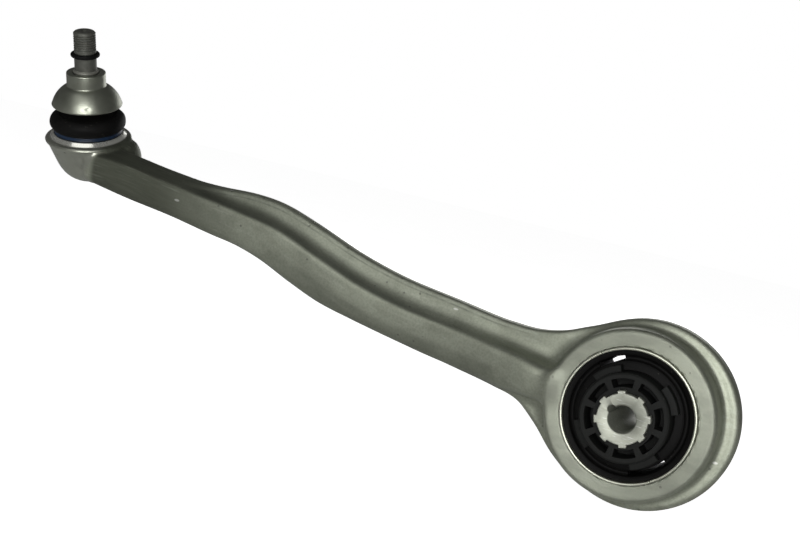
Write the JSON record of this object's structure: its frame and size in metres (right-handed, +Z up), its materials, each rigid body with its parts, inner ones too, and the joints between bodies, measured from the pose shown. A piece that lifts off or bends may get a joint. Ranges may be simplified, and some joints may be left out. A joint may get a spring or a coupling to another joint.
{
  "type": "suspension control arm",
  "caption": "Forged aluminium control arm with a pressed-in rubber bush at one end and a booted ball joint with a threaded stud at the other.",
  "frame": {"origin": "centre of the bush, on the bolt axis at mid width", "axes": "+Y along the bush bolt axis, away from the side that the stud leans to; +Z up; the arm runs towards -X"},
  "size_m": [0.4736, 0.08, 0.19],
  "materials": {
    "forged_aluminium": "satin, blasted forging skin",
    "bearing_plastic": "moulded",
    "bright_steel": "bright, rolled",
    "stud_steel": "dark phosphated",
    "black_rubber": "satin moulded",
    "blue_ring": "satin",
    "spring_steel": "drawn wire",
    "bell_aluminium": "fine turned, satin",
    "sleeve_aluminium": "drawn tube",
    "core_aluminium": "matte extruded and sawn",
    "stop_plastic": "moulded glass-filled plastic"
  },
  "bodies": {
    "arm": {"arm_forging": "forged_aluminium", "bearing_shell": "bearing_plastic", "closing_ring": "bright_steel", "boot_clamp_ring": "blue_ring", "bush_sleeve": "sleeve_aluminium", "bush_rubber": "black_rubber"},
    "boot": {"dust_boot": "black_rubber"},
    "boot_neck": {"boot_neck_ring": "spring_steel"},
    "stud": {"ball_stud": "stud_steel", "bell_collar": "bell_aluminium", "stud_o_ring": "black_rubber"},
    "core": {"bush_core": "core_aluminium", "front_stop": "stop_plastic", "rear_stop": "stop_plastic"}
  },
  "joints": [
    {"name": "stud_swing", "type": "hinge", "parent": "arm", "child": "boot", "pos_m": [-0.39, 0.0115, 0.0653], "axis": [1, 0, 0], "range_deg": [-18, 18], "deforming": ["dust_boot"]},
    {"name": "stud_rock", "type": "hinge", "parent": "boot", "child": "boot_neck", "pos_m": [-0.39, 0.0115, 0.0653], "axis": [0, 0.9178, 0.3971], "range_deg": [-18, 18]},
    {"name": "stud_spin", "type": "hinge", "parent": "boot_neck", "child": "stud", "pos_m": [-0.39, 0.0115, 0.0653], "axis": [0, -0.3971, 0.9178], "continuous": true},
    {"name": "bush_twist", "type": "hinge", "parent": "arm", "child": "core", "pos_m": [0, 0, 0], "axis": [0, 1, 0], "range_deg": [-15, 15], "stiffness_Nm_per_rad": 60, "deforming": ["bush_rubber"]}
  ]
}
